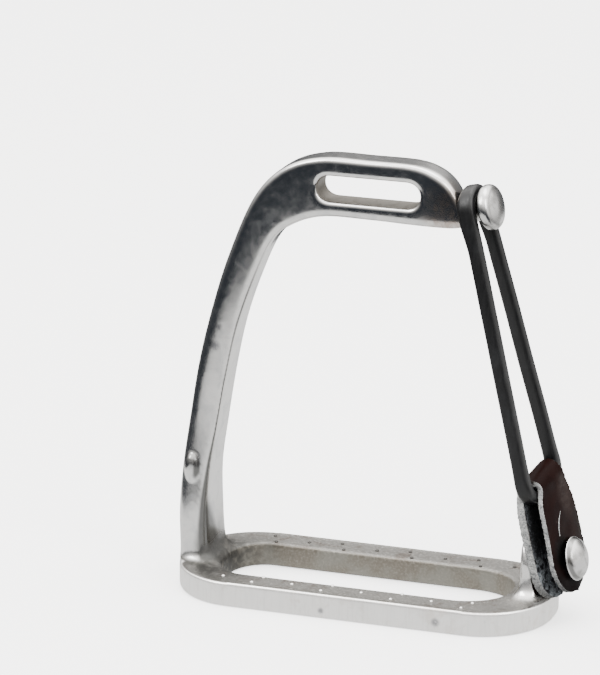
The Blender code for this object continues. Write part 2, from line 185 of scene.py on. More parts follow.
# Marks on the steel: place from the tread's centre, radius.
SMUDGES = (
    (-54.7, -5.8, 89.2, 2.2),
    (-53.0, -5.8, 96.0, 1.2),
    (34.1, -27.5, 4.0, 1.7),
    (52.0, -27.0, 6.0, 0.9),
    (-8.0, -27.5, 3.0, 1.2),
)
BROWN_END = (33.0, -5.7, 145.0, 13.0)
# Centre of the dirt and painted shade where the leg's foot meets the tread.
FOOT_CORNER = (-54.0, -5.0)
# x below which the leg gets its painted shade
LEG_SIDE = -20.0

# Studio, in metres. The table sheet is what the steel mirrors: it ends in front of the iron.
FLOOR_HALF = 6.0
FLOOR_GLOW = 1.2
TABLE_OUTLINE = (
    (-0.195, -0.345), (0.15, -0.345), (0.15, -0.02), (0.36, -0.02),
    (0.36, 0.60), (-0.06, 0.60), (-0.06, 0.11), (-0.195, 0.11),
)
TABLE_HEIGHT = -0.0005
TABLE_GLOW = 1.55
BACKDROP = 3.7
AIM = (0.0, 0.0, 0.08)
SOFTBOXES = (
    ("softbox_left", (-0.9, -0.9, 1.2), (0.7, 0.9), 16.0),
    ("softbox_right", (1.2, -0.7, 1.0), (0.5, 0.9), 10.0),
    ("softbox_top", (0.1, 0.2, 1.5), (1.2, 0.8), 14.0),
)
CAMERA_AZIMUTH = 19.0
CAMERA_ELEVATION = 18.05
CAMERA_DISTANCE = 1.461
CAMERA_TARGET_HEIGHT = 0.080
CAMERA_LENS = 251.0
CAMERA_SHIFT = (-0.113, 0.072)


# ---- places

def closure_matrix():
    """The closure frame: x out along the stud, y to the back, z up along the ring, in millimetres."""
    out = Vector(JOINTS["tab_swing"]["axis"]).normalized()
    back = Vector(JOINTS["ring_release"]["axis"]).normalized()
    up = out.cross(back)
    turn = Matrix((out, back, up)).transposed().to_4x4()
    return Matrix.Translation(Vector(JOINTS["tab_swing"]["pos_m"])) @ turn @ Matrix.Scale(MM, 4)


TREAD_PLACE = Matrix.Translation((TREAD_X * MM, 0.0, 0.0)) @ Matrix.Scale(MM, 4)
CLOSURE = closure_matrix()
KNOB_PLACE = CLOSURE @ Matrix.Translation((0.0, 0.0, KNOB_HEIGHT))


# ---- mesh tools

def smoothstep(low, high, value):
    t = np.clip((value - low) / (high - low), 0.0, 1.0)
    return t * t * (3.0 - 2.0 * t)


def loft(rings, closed_loop=False):
    """Skin over matching rings of points, capped at its ends or closed on itself."""
    bm = bmesh.new()
    loops = [[bm.verts.new(point) for point in ring] for ring in rings]
    pairs = list(zip(loops, loops[1:]))
    if closed_loop:
        pairs.append((loops[-1], loops[0]))
    for lower, upper in pairs:
        for index in range(len(lower)):
            after = (index + 1) % len(lower)
            bm.faces.new((lower[index], lower[after], upper[after], upper[index]))
    if not closed_loop:
        bm.faces.new(loops[0])
        bm.faces.new(loops[-1])
    bmesh.ops.recalc_face_normals(bm, faces=bm.faces)
    return bm


def add_object(name, bm, place):
    bmesh.ops.transform(bm, matrix=place, verts=bm.verts)
    mesh = bpy.data.meshes.new(name)
    bm.to_mesh(mesh)
    bm.free()
    mesh.shade_smooth()
    item = bpy.data.objects.new(name, mesh)
    bpy.context.scene.collection.objects.link(item)
    return item


def bake_modifiers(item):
    """Replace an object's mesh by its evaluated mesh and drop the modifiers."""
    graph = bpy.context.evaluated_depsgraph_get()
    baked = bpy.data.meshes.new_from_object(item.evaluated_get(graph))
    item.modifiers.clear()
    old = item.data
    item.data = baked
    bpy.data.meshes.remove(old)


def join_tool(target, bm, place, operation):
    tool = add_object("tool", bm, place)
    step = target.modifiers.new("tool", "BOOLEAN")
    step.operation = operation
    step.solver = "EXACT"
    step.object = tool
    bake_modifiers(target)
    bpy.data.objects.remove(tool, do_unlink=True)


def read_points(mesh):
    points = np.empty(len(mesh.vertices) * 3)
    mesh.vertices.foreach_get("co", points)
    return points.reshape(-1, 3)


def read_normals(mesh):
    normals = np.empty(len(mesh.vertices) * 3)
    mesh.vertex_normals.foreach_get("vector", normals)
    return normals.reshape(-1, 3)


def write_points(mesh, points):
    mesh.vertices.foreach_set("co", points.ravel())
    mesh.update()


def closure_points(mesh):
    """The mesh's points in the closure frame."""
    inverse = np.array(CLOSURE.inverted())
    return read_points(mesh) @ inverse[:3, :3].T + inverse[:3, 3]


def write_attribute(mesh, name, values):
    layer = mesh.attributes.new(name, "FLOAT", "POINT")
    layer.data.foreach_set("value", np.asarray(values, dtype=np.float32))


def relax(mesh, rounds, mask=None, only_hollows=False):
    """Laplacian smoothing, over the masked points, and only where the skin is hollow if asked."""
    pull = 0.5
    normals_every = 10
    edges = np.empty(len(mesh.edges) * 2, dtype=np.int64)
    mesh.edges.foreach_get("vertices", edges)
    edges = edges.reshape(-1, 2)
    points = read_points(mesh)
    count = len(points)
    if mask is None:
        mask = np.ones(count)
    edges = edges[(mask[edges[:, 0]] > 0) | (mask[edges[:, 1]] > 0)]
    first, second = edges[:, 0], edges[:, 1]
    degree = np.maximum(np.bincount(edges.ravel(), minlength=count), 1)[:, None]
    normals = read_normals(mesh)
    for turn in range(rounds):
        total = np.stack([
            np.bincount(first, points[second, axis], count)
            + np.bincount(second, points[first, axis], count)
            for axis in range(3)], axis=1)
        step = total / degree - points
        weight = pull * mask
        if only_hollows:
            weight = weight * ((step * normals).sum(axis=1) > 0)
        points = points + step * weight[:, None]
        if only_hollows and turn % normals_every == normals_every - 1:
            write_points(mesh, points)
            normals = read_normals(mesh)
    write_points(mesh, points)


def rounded_rectangle(low, high, half_depth, low_radius, high_radius, steps=8):
    """Points (across, y) of a section from low to high, with an edge radius at each of these sides."""
    low_end = (low_radius, low_radius)
    high_end = (high_radius, high_radius)
    return oval_outline(low, high, half_depth, low_end, high_end, steps, rail_steps=1)


def crowned_section(width, depth, inner_edge, outer_edge):
    """Section of the arch, with its front and back faces ground very slightly round."""
    ends = ((inner_edge, inner_edge), (outer_edge, outer_edge))
    points = []
    for across, y in oval_outline(0.0, width, depth / 2, *ends, arc_steps=8, rail_steps=FACE_STEPS):
        t = min(max((across - inner_edge) / (width - outer_edge - inner_edge), 0.0), 1.0)
        points.append((across, y + math.copysign(FACE_CROWN * 4 * t * (1 - t), y)))
    return points


def smooth_rows(rows, steps):
    """Catmull-Rom interpolation of every value of the rows."""
    smooth = []
    for index in range(len(rows) - 1):
        before = rows[max(index - 1, 0)]
        start = rows[index]
        end = rows[index + 1]
        after = rows[min(index + 2, len(rows) - 1)]
        for step in range(steps):
            t = step / steps
            smooth.append([
                0.5 * (2 * b + (c - a) * t + (2 * a - 5 * b + 4 * c - d) * t ** 2
                       + (3 * b - a - 3 * c + d) * t ** 3)
                for a, b, c, d in zip(before, start, end, after)
            ])
    smooth.append(rows[-1])
    return smooth


def arc(centre_x, centre_y, radius, start, end, steps, radius_y=None):
    """Points of an arc between two angles in degrees, of an ellipse if a second radius is given."""
    points = []
    for step in range(steps + 1):
        angle = math.radians(start + (end - start) * step / steps)
        points.append((centre_x + radius * math.cos(angle),
                       centre_y + (radius_y or radius) * math.sin(angle)))
    return points


def turned(profile, segments=96):
    """Solid of revolution about the closure frame's x axis, from points (x, radius)."""
    angles = [2 * math.pi * index / segments for index in range(segments)]
    circle = [(math.cos(angle), math.sin(angle)) for angle in angles]
    return loft([[(x, radius * y, radius * z) for y, z in circle] for x, radius in profile])


# ---- steel frame

def arch_and_leg():
    rings = []
    for row in smooth_rows(FRAME_STATIONS, 10):
        outer = Vector((row[0], 0.0, row[1]))
        inner = Vector((row[2], 0.0, row[3]))
        depth, outer_edge, inner_edge = row[4:]
        width = (outer - inner).length
        across = (outer - inner) / width
        section = crowned_section(width, depth, inner_edge, outer_edge)
        rings.append([inner + across * p + Vector((0.0, y, 0.0)) for p, y in section])
    return loft(rings)


def oval_outline(x_min, x_max, half_width, low_end, high_end, arc_steps=24, rail_steps=16):
    """Closed outline with straight rails and quarter-ellipse corners (rx, ry) at each end."""
    corners = (
        (x_max - high_end[0], half_width - high_end[1], high_end, 0.0),
        (x_min + low_end[0], half_width - low_end[1], low_end, 90.0),
        (x_min + low_end[0], -half_width + low_end[1], low_end, 180.0),
        (x_max - high_end[0], -half_width + high_end[1], high_end, 270.0),
    )
    points = []
    for index, (centre_x, centre_y, radii, start) in enumerate(corners):
        points += arc(centre_x, centre_y, radii[0], start, start + 90.0, arc_steps, radii[1])
        if index in (0, 2):
            next_centre = corners[index + 1][0]
            side = 1.0 if index == 0 else -1.0
            for step in range(1, rail_steps):
                x = centre_x + (next_centre - centre_x) * step / rail_steps
                points.append((x, side * half_width))
    return points


def tread():
    """Oval ring with a low ground lip round the outer top edge."""
    def ring(half_length, half_width, leg_end, lug_end, z):
        outline = oval_outline(-half_length, half_length, half_width, leg_end, lug_end)
        return [(x, y, z) for x, y in outline]

    def outer(inset, z):
        end = (TREAD_CORNER - inset, TREAD_CORNER - inset)
        return ring(TREAD_HALF_LENGTH - inset, TREAD_HALF_WIDTH - inset, end, end, z)

    def hole(inset, z):
        ends = [(along + inset, across + inset) for along, across in (HOLE_LEG_END, HOLE_LUG_END)]
        return ring(HOLE_HALF_LENGTH + inset, HOLE_HALF_WIDTH + inset, *ends, z)

    edge = TREAD_EDGE
    low = TREAD_HEIGHT - TREAD_LIP_HEIGHT
    rings = [outer(x, z) for x, z in arc(edge, edge, edge, 270, 180, 4)]
    rings += [outer(x, z) for x, z in arc(edge, TREAD_HEIGHT - edge, edge, 180, 90, 4)]
    rings.append(outer(TREAD_LIP_WIDTH, low))
    rings += [hole(x, z) for x, z in arc(edge, low - edge, edge, 90, 180, 4)]
    rings += [hole(x, z) for x, z in arc(edge, edge, edge, 180, 270, 4)]
    return loft(rings, closed_loop=True)


def lug():
    rings = []
    for z, inner_x, outer_x, depth, edge in smooth_rows(LUG_STATIONS, 5):
        section = rounded_rectangle(inner_x, outer_x, depth / 2, edge, edge, steps=6)
        rings.append([(x, y, z) for x, y in section])
    return loft(rings)


def slot_cutter():
    """Rounded slot that widens as a quarter round at both faces of the arch."""
    face = ARCH_DEPTH / 2
    depths = [(-face - 2.0, SLOT_RIM + 1.0)]
    for y, grow in arc(-face + SLOT_RIM, SLOT_RIM, SLOT_RIM, 180, 270, 6):
        depths.append((y, grow))
    depths += [(-y, grow) for y, grow in reversed(depths)]
    rings = []
    for y, grow in depths:
        half_height = SLOT_HALF_HEIGHT + grow
        section = rounded_rectangle(-SLOT_HALF_LENGTH - grow, SLOT_HALF_LENGTH + grow, half_height,
                                    half_height * 0.999, half_height * 0.999, steps=16)
        rings.append([(SLOT_CENTRE[0] + x, y, SLOT_CENTRE[1] + z) for x, z in section])
    return loft(rings)


def boss(side):
    bm = bmesh.new()
    centre = Vector((BOSS_CENTRE[0], side * BOSS_CENTRE[1], BOSS_CENTRE[2]))
    place = Matrix.Translation(centre) @ Matrix.Diagonal((*BOSS_RADII, 1.0))
    bmesh.ops.create_uvsphere(bm, u_segments=32, v_segments=20, radius=1.0, matrix=place)
    return bm


def tread_pips():
    """Low cast pips on both rails, in staggered rows of one and two."""
    bm = bmesh.new()
    shape = Matrix.Diagonal((*PIP_RADII, 1.0))
    for side, phase in PIP_ROWS:
        for index in range(-1, 4):
            x = phase + PIP_PITCH * index
            for dx, y in PIP_GROUP:
                if abs(x + dx) < PIP_LIMIT:
                    place = Matrix.Translation((x + dx, side * y, TREAD_HEIGHT - TREAD_LIP_HEIGHT))
                    bmesh.ops.create_uvsphere(bm, u_segments=14, v_segments=8, radius=1.0,
                                              matrix=place @ shape)
    return bm


def fillet_bases(mesh):
    """Fill the hollow corners where the leg and the lug rise from the tread."""
    points = read_points(mesh) / MM
    x = points[:, 0] - TREAD_X
    z = points[:, 2]
    height = smoothstep(TREAD_HEIGHT - 1.4, TREAD_HEIGHT - 0.6, z) * (1.0 - smoothstep(*FILLET_TOP, z))
    ends = smoothstep(*FILLET_ENDS, np.abs(x))
    rounds = FILLET_ROUNDS
    relax(mesh, rounds, height * ends, only_hollows=True)


def near(points, centre, radius, inner, outer):
    """1 inside the radius times inner, 0 outside the radius times outer."""
    distance = np.linalg.norm(points - centre, axis=1)
    return 1.0 - smoothstep(radius * inner, radius * outer, distance)


def surface_zones(x, y, z, normals):
    """The tread's ground outer wall, the rough casting inside and above it, and the slot's wall."""
    reach_x = x - np.clip(x, -TREAD_HALF_LENGTH + TREAD_CORNER, TREAD_HALF_LENGTH - TREAD_CORNER)
    outward = (reach_x * normals[:, 0] + y * normals[:, 1]) / np.maximum(np.hypot(reach_x, y), 1.0)
    below_lip = 1.0 - smoothstep(TREAD_HEIGHT + 0.1, TREAD_HEIGHT + 0.5, z)
    wall = below_lip * smoothstep(0.35, 0.6, outward)
    inner_corner = smoothstep(0.1, 0.45, normals[:, 0]) * (x < -40.0) * (x > -62.0)
    base_top = TREAD_HEIGHT + 2.2 + 5.5 * inner_corner
    base = 1.0 - smoothstep(base_top - 1.8 - 2.7 * inner_corner, base_top, z)
    rough = np.clip(base - wall, 0.0, 1.0)
    reach = 0.8
    slot = np.abs(x - SLOT_CENTRE[0]) < SLOT_HALF_LENGTH + reach
    slot &= np.abs(z - SLOT_CENTRE[1]) < SLOT_HALF_HEIGHT + reach
    slot &= (np.abs(y) < ARCH_DEPTH / 2 - 0.6) & (np.abs(normals[:, 1]) < 0.6)
    return wall, rough, slot.astype(float)


def painted_leg_shade_mask(x, y, z, normals):
    """Painted shade on the leg: a dark line along its inner front edge, a dark hollow above the foot and
    dark sides round the boss.
    """
    leg = x < LEG_SIDE
    above_tread = smoothstep(TREAD_HEIGHT, TREAD_HEIGHT + 3.0, z)
    low = smoothstep(46.0, 16.0, z)
    spread = 0.22 + 0.26 * low + 0.30 * smoothstep(26.0, 12.0, z)
    edge = smoothstep(spread, spread * 0.35, np.abs(normals[:, 0] - 0.74 + 0.12 * low))
    edge *= smoothstep(0.2, -0.1, normals[:, 1]) * above_tread * smoothstep(128.0, 108.0, z) * leg
    back = -12.0 + 15.0 * smoothstep(44.0, 10.0, z)
    hollow = smoothstep(back + 3.0, back - 3.0, y) * smoothstep(0.25, 0.6, normals[:, 0])
    hollow *= smoothstep(48.0, 40.0, z) * smoothstep(TREAD_HEIGHT, TREAD_HEIGHT + 2.0, z) * leg
    from_boss = np.stack([x - BOSS_CENTRE[0], y + BOSS_CENTRE[1], z - BOSS_CENTRE[2]], axis=1)
    on_boss = np.linalg.norm(from_boss / (3.4, 3.4, 6.0), axis=1) < 1.0
    boss_top = 0.8 * smoothstep(-1.0, 3.5, from_boss[:, 2])
    boss_side = smoothstep(0.1, 0.5, normals[:, 0])
    return np.maximum.reduce([edge, hollow, on_boss * np.maximum(boss_side, boss_top)])


def finish_masks(mesh):
    """Where the steel is polished, ground or left rough, where it is stained or wavy, and where shade is
    painted on it.
    """
    points = read_points(mesh) / MM - (TREAD_X, 0.0, 0.0)
    normals = read_normals(mesh)
    x, y, z = points.T
    wall, rough, slot = surface_zones(x, y, z, normals)
    smudges = [near(points, smudge[:3], smudge[3], 0.3, 1.3) for smudge in SMUDGES]
    foot = np.hypot(np.hypot(x - FOOT_CORNER[0], (y - FOOT_CORNER[1]) * 0.8), z - TREAD_HEIGHT)
    masks = {
        "ground_wall": wall,
        "rough_cast": rough,
        "hole_wall": rough * smoothstep(0.75, 0.4, np.abs(normals[:, 2])),
        "slot_wall": slot,
        "mirror": smoothstep(60.0, 112.0, z),
        "painted_leg_shade": painted_leg_shade_mask(x, y, z, normals),
        "ripples": smoothstep(66.0, 80.0, z) * smoothstep(112.0, 96.0, z),
        "smudge": np.maximum.reduce(smudges),
        "brown_end": near(points, BROWN_END[:3], BROWN_END[3], 0.4, 1.2),
        "foot_dirt_and_shade": smoothstep(28.0, 9.0, foot),
    }
    for name, values in masks.items():
        write_attribute(mesh, name, values)


def build_frame():
    item = add_object("steel_frame", arch_and_leg(), TREAD_PLACE)
    for shape in (tread(), lug(), boss(-1), boss(1)):
        join_tool(item, shape, TREAD_PLACE, "UNION")
    join_tool(item, slot_cutter(), TREAD_PLACE, "DIFFERENCE")
    for low, high, radius, place in (
            (KNOB_SHANK_END, KNOB_BORE_END, KNOB_SHANK_RADIUS + MARGIN, KNOB_PLACE),
            (STUD_SHANK_END, STUD_BORE_END, STUD_SHANK_RADIUS + MARGIN, CLOSURE)):
        bore = turned(((low - MARGIN, radius), (high, radius)), BORE_SEGMENTS)
        join_tool(item, bore, place, "DIFFERENCE")
    skin = item.modifiers.new("skin", "REMESH")
    skin.mode = "VOXEL"
    skin.voxel_size = VOXEL * MM
    skin.use_smooth_shade = True
    bake_modifiers(item)
    relax(item.data, SKIN_ROUNDS)
    fillet_bases(item.data)
    relax(item.data, FINISH_ROUNDS)
    relax(item.data, ARCH_ROUNDS, smoothstep(*ARCH_ZONE, read_points(item.data)[:, 2] / MM))
    finish_masks(item.data)
    item.data.materials.append(steel_material())
    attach(item, "iron")
    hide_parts("iron_frame")
    pips = add_object("tread_pips", tread_pips(), TREAD_PLACE)
    # painted shade: the pips on the back rail are coloured dark
    write_attribute(pips.data, "back_rail_shade", smoothstep(0.0, 10.0, read_points(pips.data)[:, 1] / MM))
    pips.data.materials.append(pip_material())
    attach(pips, "iron")


# ---- knob and stud

def stem(shank_end, shank_radius, neck_start, neck_radius, head_start, corner):
    """Profile (x, radius) of a stud's shank and neck, with a filled corner under the head."""
    return [
        (shank_end, 0.4),
        (shank_end, shank_radius),
        (neck_start, shank_radius),
        (neck_start, neck_radius),
        (head_start - corner, neck_radius),
        (head_start, neck_radius + 0.5),
    ]


def knob_profile():
    """Shank, neck and a thick head with rounded edges and a shallow dome."""
    under = 1.6
    head_radius = 7.9
    head_start = 3.5
    side_end = 5.7
    edge = 2.1
    dome_height = 0.9
    profile = stem(KNOB_SHANK_END, KNOB_SHANK_RADIUS, KNOB_NECK_START, KNOB_NECK_RADIUS, head_start, 0.8)
    profile += arc(head_start + under, head_radius - under, under, 180, 90, 10)
    dome_radius = head_radius - edge
    cap = (dome_radius ** 2 + dome_height ** 2) / (2 * dome_height)
    lean = math.degrees(math.asin(dome_radius / cap))
    profile += arc(side_end, head_radius - edge, edge, 90, lean, 12)
    dome_start, dome_edge = profile[-1]
    scale = dome_edge / dome_radius
    centre = dome_start + scale * (dome_height - cap)
    profile += arc(centre, 0.0, scale * cap, lean, 0.0, DOME_STEPS)[1:-1]
    profile.append((dome_start + scale * dome_height, AXIS_RADIUS))
    return profile


def stud_profile():
    """Shank, post and a dome inside a thin turned rim."""
    head_radius = 7.8
    head_start = 6.1
    rim = 0.45
    profile = stem(STUD_SHANK_END, STUD_SHANK_RADIUS, STUD_POST_START, STUD_POST_RADIUS, head_start, 0.4)
    profile.append((head_start, head_radius - rim))
    profile += arc(head_start + rim, head_radius - rim, rim, 180, 0, 8)
    dome_start = head_start + 2 * rim
    dome_radius = head_radius - rim - 0.1
    dome_height = 3.3
    profile += arc(dome_start, 0.0, dome_height, 82.0, 0.0, DOME_STEPS, dome_radius)[:-1]
    profile.append((dome_start + dome_height, AXIS_RADIUS))
    return profile


def painted_ring_shade_mask(mesh, height, radius, strength):
    """Painted shade: a dark ring round the dome of the head at that height."""
    face_start = 6.3
    local = closure_points(mesh)
    reach = np.hypot(local[:, 1], local[:, 2] - height)
    return strength * smoothstep(0.7, 0.15, np.abs(reach - radius)) * (local[:, 0] > face_start)


def build_knob_and_stud():
    turned_steel = turned_material()
    knob = add_object("knob_turned", turned(knob_profile()), KNOB_PLACE)
    stud = add_object("stud_turned", turned(stud_profile()), CLOSURE)
    for item, node, height, shade_radius, strength in (
            (knob, "top_knob", KNOB_HEIGHT, 6.3, 0.3), (stud, "tab_stud", 0.0, 7.1, 0.8)):
        item.data.set_sharp_from_angle(angle=math.radians(50))
        write_attribute(item.data, "painted_ring_shade", painted_ring_shade_mask(item.data, height, shade_radius, strength))
        item.data.materials.append(turned_steel)
        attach(item, "iron")
        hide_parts(node)


# ---- rubber ring

def ring_path():
    """Centre line (y, z, outward y, outward z) of the ring: loop on the neck, strands and lower bend."""
    loop_radius = KNOB_NECK_RADIUS + MARGIN + RING_THICKNESS / 2
    bend_centre = Vector((RING_BEND_HALF_SPAN - RING_BEND_RADIUS, RING_BEND_HEIGHT + RING_BEND_RADIUS))
    loop_centre = Vector((0.0, KNOB_HEIGHT))
    span = bend_centre - loop_centre
    slope = math.atan2(-span.y, span.x)
    tangent = math.acos((loop_radius - RING_BEND_RADIUS) / span.length) - slope
    arcs = (
        (loop_centre, loop_radius, tangent, math.pi - tangent, 36),
        (Vector((-bend_centre.x, bend_centre.y)), RING_BEND_RADIUS, math.pi - tangent, 1.5 * math.pi, 18),
        (bend_centre, RING_BEND_RADIUS, 1.5 * math.pi, 2 * math.pi + tangent, 18),
    )
    points = []
    for centre, radius, start, end, steps in arcs:
        for step in range(steps + 1):
            angle = start + (end - start) * step / steps
            normal = Vector((math.cos(angle), math.sin(angle)))
            points.append((centre + normal * radius, normal))
    filled = []
    for index, (point, normal) in enumerate(points):
        following, following_normal = points[(index + 1) % len(points)]
        gap = following - point
        count = max(1, round(gap.length / RING_STEP))
        for step in range(count):
            t = step / count
            filled.append((point + gap * t, normal.lerp(following_normal, t).normalized()))
    return filled


def build_ring():
    half = RING_THICKNESS / 2
    section = rounded_rectangle(-half, half, RING_WIDTH / 2, RING_EDGE, RING_EDGE)
    rings = []
    for point, normal in ring_path():
        flat = float(smoothstep(KNOB_HEIGHT - 14.0, KNOB_HEIGHT - 1.0, point.y))
        side = float(smoothstep(0.5, 8.5, abs(point.x)))
        bend = float(smoothstep(RING_BEND_HEIGHT + 14.0, RING_BEND_HEIGHT + 4.0, point.y))
        width = 1.0 + 0.26 * flat * side + 0.10 * bend
        thickness = 1.0 - 0.10 * flat
        slide = -0.75 * flat * side
        wobble = noise.noise(Vector((point.x * 0.09, point.y * 0.05, 3.0))) * 0.12
        ring = []
        for across, x in section:
            y = point.x + normal.x * (across * thickness)
            z = point.y + normal.y * (across * thickness)
            ring.append((x * width + wobble + slide, y, z))
        rings.append(ring)
    item = add_object("rubber_ring_soft", loft(rings, closed_loop=True), CLOSURE)
    item.data.materials.append(rubber_material())
    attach(item, "ring")
    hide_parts("rubber_ring")


# ---- leather tab

def outer_bulge(z):
    """How far the outer layer stands out over the slit."""
    return OUTER_LAYER_BULGE * float(smoothstep(26.0, 18.0, z) * smoothstep(2.0, 10.0, z))


def tab_centre_line():
    """Stations (x, z) of the strap's middle, from the inner layer's end over the fold to the outer end."""
    low = TAB_END_CENTRE - TAB_HALF_WIDTH
    heights = [low + (TAB_FOLD_HEIGHT - low) * (step / LAYER_STEPS) for step in range(LAYER_STEPS)]
    stations = []
    for z in heights:
        tuck = 0.3 * float(smoothstep(0.0, -14.0, z))
        drop = INNER_LAYER_DROP * float(smoothstep(6.0, low, z))
        stations.append((-TAB_SPREAD + tuck, z - drop))
    for step in range(FOLD_STEPS + 1):
        angle = math.pi * step / FOLD_STEPS
        stations.append((-TAB_SPREAD * math.cos(angle), TAB_FOLD_HEIGHT + TAB_SPREAD * math.sin(angle)))
    for z in reversed(heights):
        pinch = 0.1 * float(smoothstep(-2.0, -11.0, z))
        stations.append((TAB_SPREAD + outer_bulge(z) - pinch, z))
    return stations


def tab_half_width(z, end_shift, distance):
    """Narrow at the fold, wide at the stud, round at the end."""
    straight = TAB_HALF_WIDTH - TAB_SWELL
    widen = float(smoothstep(3.0, 15.0, distance))
    half_width = TAB_FOLD_HALF_WIDTH + (straight - TAB_FOLD_HALF_WIDTH) * widen
    half_width += TAB_SWELL * float(smoothstep(22.0, 4.0, z))
    end_centre = TAB_END_CENTRE - end_shift
    if z < end_centre:
        reach = max(TAB_HALF_WIDTH ** 2 - (end_centre - z) ** 2, 0.0)
        half_width = min(half_width, math.sqrt(reach))
    return max(half_width, 0.6)


def strap_outline(half_width, across_steps=44, edge_steps=6):
    """One station's outline as (place across, grain +1 to flesh -1, kind of skin)."""
    outline = []
    for side, kind in ((1.0, "grain"), (-1.0, "flesh")):
        for step in range(across_steps + 1):
            outline.append((side * (2.0 * step / across_steps - 1.0), side, kind))
        for step in range(1, edge_steps):
            angle = math.pi / 2 - math.pi * step / edge_steps
            swell = 0.25 * math.cos(angle) / half_width
            outline.append((side * (1.0 + swell), side * math.sin(angle), "edge"))
    return outline


def leather_strap():
    """Folded strap: grain skin outside, flesh skin inside, rough raw edges."""
    stations = tab_centre_line()
    last = len(stations) - 1
    middle = len(stations) // 2
    lengths = [math.dist(*pair) for pair in zip(stations, stations[1:])]
    rings = []
    for index, (x, z) in enumerate(stations):
        inner = index < middle
        distance = abs(sum(lengths[:index]) - sum(lengths[:middle]))
        along = Vector(stations[min(index + 1, last)]) - Vector(stations[max(index - 1, 0)])
        normal = Vector((-along.y, along.x)).normalized()
        half_width = tab_half_width(z, INNER_LAYER_DROP if inner else 0.0, distance)
        extra = INNER_LAYER_EXTRA if inner else OUTER_LAYER_EXTRA
        extra *= float(smoothstep(6.0, 14.0, distance))
        crown = (-0.5 if index > middle else 0.25) * float(smoothstep(4.0, 14.0, distance))
        tilt = 0.11 * float(1.0 - smoothstep(0.0, 9.0, distance))
        outline = strap_outline(half_width)
        ring = []
        for across, skin, _ in outline:
            y = across * half_width
            thick = TAB_THICKNESS / 2 * (1.0 - 0.12 * across ** 4)
            if skin < 0:
                thick -= extra * skin
            shift = skin * thick + crown * across * across
            ring.append((x + normal.x * shift, y, z + normal.y * shift + tilt * y))
        rings.append(ring)
    bm = loft(rings)
    kinds = [kind for _, _, kind in outline]
    pairs = zip(kinds, kinds[1:] + kinds[:1])
    slots = [SKIN_SLOTS[kind if kind == after else "edge"] for kind, after in pairs]
    for face, slot in zip(bm.faces, slots * last + [SKIN_SLOTS["edge"]] * 2):
        face.material_index = slot
    return bm


def leather_slit():
    """Pale lips of the curved slit above the stud."""
    path = smooth_rows(SLIT, 6)
    rings = []
    for index, (y, z) in enumerate(path):
        t = index / (len(path) - 1)
        half_width = SLIT_WIDTH / 2 * math.sin(math.pi * (0.06 + 0.88 * t)) ** 0.6
        x = TAB_SPREAD + TAB_THICKNESS / 2 + 0.08 + outer_bulge(z)
        lip = half_width * 0.6
        across = ((-half_width, -0.3), (-lip, 0.12), (lip, 0.12), (half_width, -0.3))
        rings.append([(x + dx, y + dy, z) for dy, dx in across])
    bm = loft(rings)
    for face in bm.faces:
        face.material_index = SKIN_SLOTS["edge"]
    return bm


def shade_leather(item):
    """Painted shade in the gap between the layers under the ring's bend and on the fold's edges, a painted
    shadow beside the stud, the outer layer darker towards the bottom, and a painted sheen.
    """
    x, y, z = closure_points(item.data).T
    gap = smoothstep(-2.9, -2.0, x) * (x < 3.2) * smoothstep(-2.0, 8.0, z) * smoothstep(31.0, 28.0, z)
    # painted sheen: a lighter patch on the outer layer's right half
    painted_sheen = smoothstep(6.0, 1.5, np.hypot((y - 6.0) * 0.8, (z - 22.0) * 0.55)) * (x > 3.0)
    write_attribute(item.data, "painted_sheen", painted_sheen)
    fold = smoothstep(30.6, 32.0, z) + smoothstep(2.2, 1.2, np.abs(x)) * smoothstep(22.0, 26.0, z)
    # painted shadow beside the stud on the outer layer
    beside = np.hypot(y + 5.2, z - 3.5)
    stud = smoothstep(9.0, 3.6, beside) * (x > 2.0)
    # the outer layer darker towards the bottom
    flank = smoothstep(6.0, -8.0, z) * smoothstep(2.5, 4.2, x) * 0.8
    write_attribute(item.data, "shade", np.clip(np.maximum(gap, fold * 0.9), 0.0, 1.0))
    write_attribute(item.data, "dark", np.maximum(stud, flank))


def join_meshes(item, bm, place):
    extra = add_object("extra", bm, place)
    combined = bmesh.new()
    combined.from_mesh(item.data)
    combined.from_mesh(extra.data)
    combined.to_mesh(item.data)
    combined.free()
    bpy.data.objects.remove(extra, do_unlink=True)


def roughen_leather(item):
    """Fuzz on the raw edges and the flesh side, and slight unevenness of the grain side."""
    mesh = item.data
    points = read_points(mesh)
    normals = read_normals(mesh)
    soft = np.zeros(len(points))
    for face in mesh.polygons:
        if face.material_index:
            soft[list(face.vertices)] = 1.0
    moved = points.copy()
    for index, point in enumerate(points):
        place = Vector(point) / MM
        fuzz = noise.noise(place * 1.4) * 0.30 + noise.noise(place * 3.4) * 0.20
        swell = noise.noise(place * 0.16) * 0.18
        moved[index] += normals[index] * (fuzz * soft[index] + swell) * MM
    write_points(mesh, moved)


def build_tab():
    item = add_object("leather_strap", leather_strap(), CLOSURE)
    hole = turned(((-TAB_HOLE_REACH, TAB_HOLE_RADIUS), (TAB_HOLE_REACH, TAB_HOLE_RADIUS)), 40)
    join_tool(item, hole, CLOSURE, "DIFFERENCE")
    roughen_leather(item)
    join_meshes(item, leather_slit(), CLOSURE)
    shade_leather(item)
    for material in (grain_material(), flesh_material(), raw_edge_material()):
        item.data.materials.append(material)
    item.data.shade_smooth()
    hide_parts("leather_tab")
    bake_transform(item)


# ---- materials

